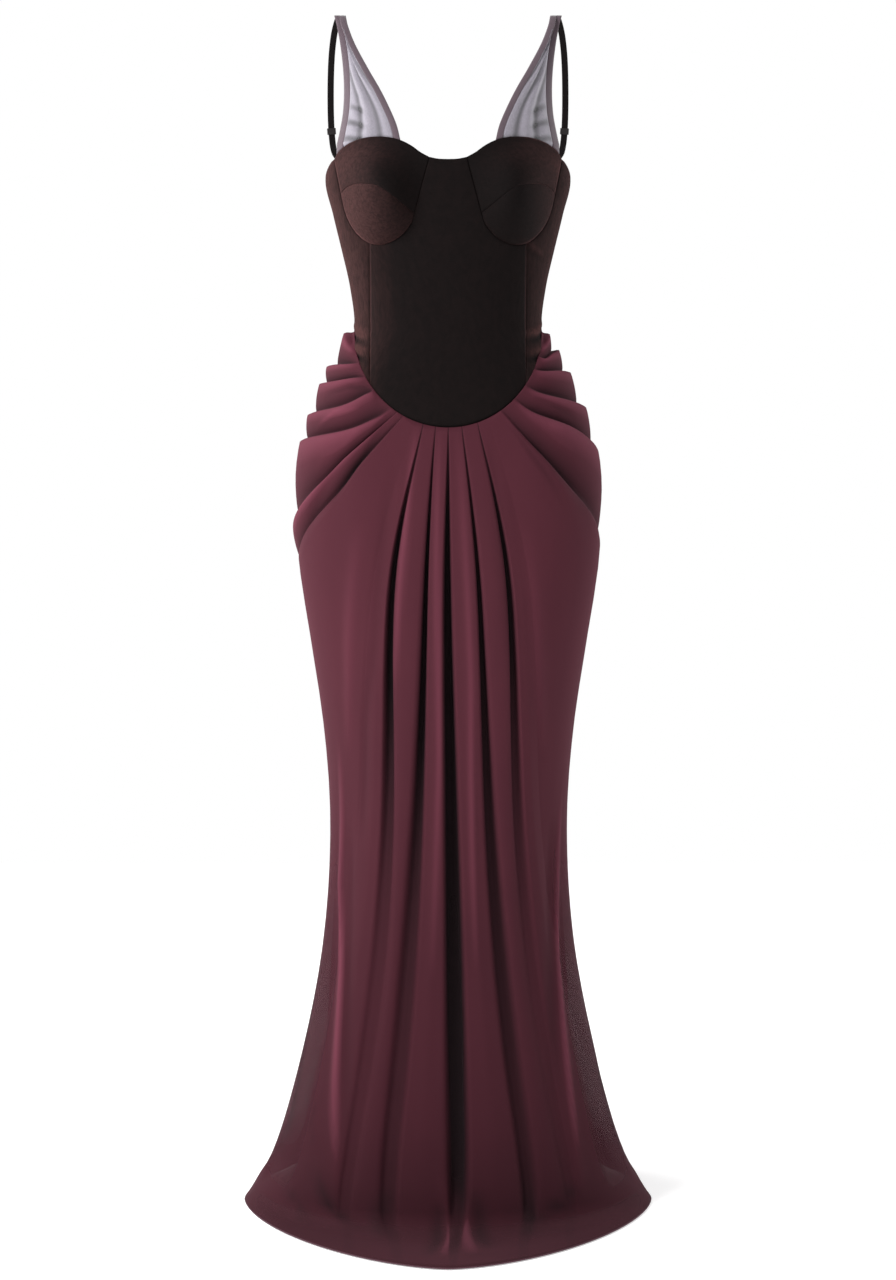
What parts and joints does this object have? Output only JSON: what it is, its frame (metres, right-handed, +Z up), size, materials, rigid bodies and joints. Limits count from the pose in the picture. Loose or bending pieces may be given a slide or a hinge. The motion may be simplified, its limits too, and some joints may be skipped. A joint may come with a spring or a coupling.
{
  "type": "maxi dress",
  "caption": "Floor-length dress with a velvet corset bodice, underwired cups, mesh straps and a mesh skirt pleated and swagged from a dropped seam.",
  "frame": {"origin": "midway between the tops of the two shoulder straps, where the wearer's shoulders hold the dress; the floor is 1.42 m below it", "axes": "+Z up, -Y towards the dress's front, +X towards the picture's right"},
  "size_m": [0.496, 0.5746, 1.4234],
  "materials": {
    "silk_velvet": "matte",
    "burgundy_mesh": "matte",
    "burgundy_lining": "matte",
    "mauve_mesh": "matte",
    "mauve_binding": "matte",
    "black_elastic": "matte",
    "black_enamelled_zinc": "satin",
    "zip_tape": "matte"
  },
  "bodies": {
    "dress": {"bodice_centre_front": "silk_velvet", "bodice_side_front_left": "silk_velvet", "bodice_side_front_right": "silk_velvet", "cup_upper_left": "silk_velvet", "cup_upper_right": "silk_velvet", "cup_lower_left": "silk_velvet", "cup_lower_right": "silk_velvet", "bodice_back_left": "silk_velvet", "bodice_back_right": "silk_velvet", "skirt_front": "burgundy_mesh", "skirt_back_left": "burgundy_mesh", "skirt_back_right": "burgundy_mesh", "lining_front": "burgundy_lining", "lining_back_left": "burgundy_lining", "lining_back_right": "burgundy_lining", "strap_inset_left": "mauve_mesh", "strap_inset_right": "mauve_mesh", "strap_binding_outer_left": "mauve_binding", "strap_binding_outer_right": "mauve_binding", "strap_binding_inner_left": "mauve_binding", "strap_binding_inner_right": "mauve_binding", "back_elastic_left": "black_elastic", "back_elastic_right": "black_elastic", "strap_slider_left": "black_elastic", "strap_slider_right": "black_elastic", "zip_tape": "zip_tape", "zip_slider": "black_enamelled_zinc"},
    "pull": {"zip_pull": "black_enamelled_zinc"}
  },
  "joints": [
    {"name": "zip_pull_hinge", "type": "hinge", "parent": "dress", "child": "pull", "pos_m": [0, 0.09581, -0.19085], "axis": [1, 0, 0], "range_deg": [0, 150]}
  ]
}
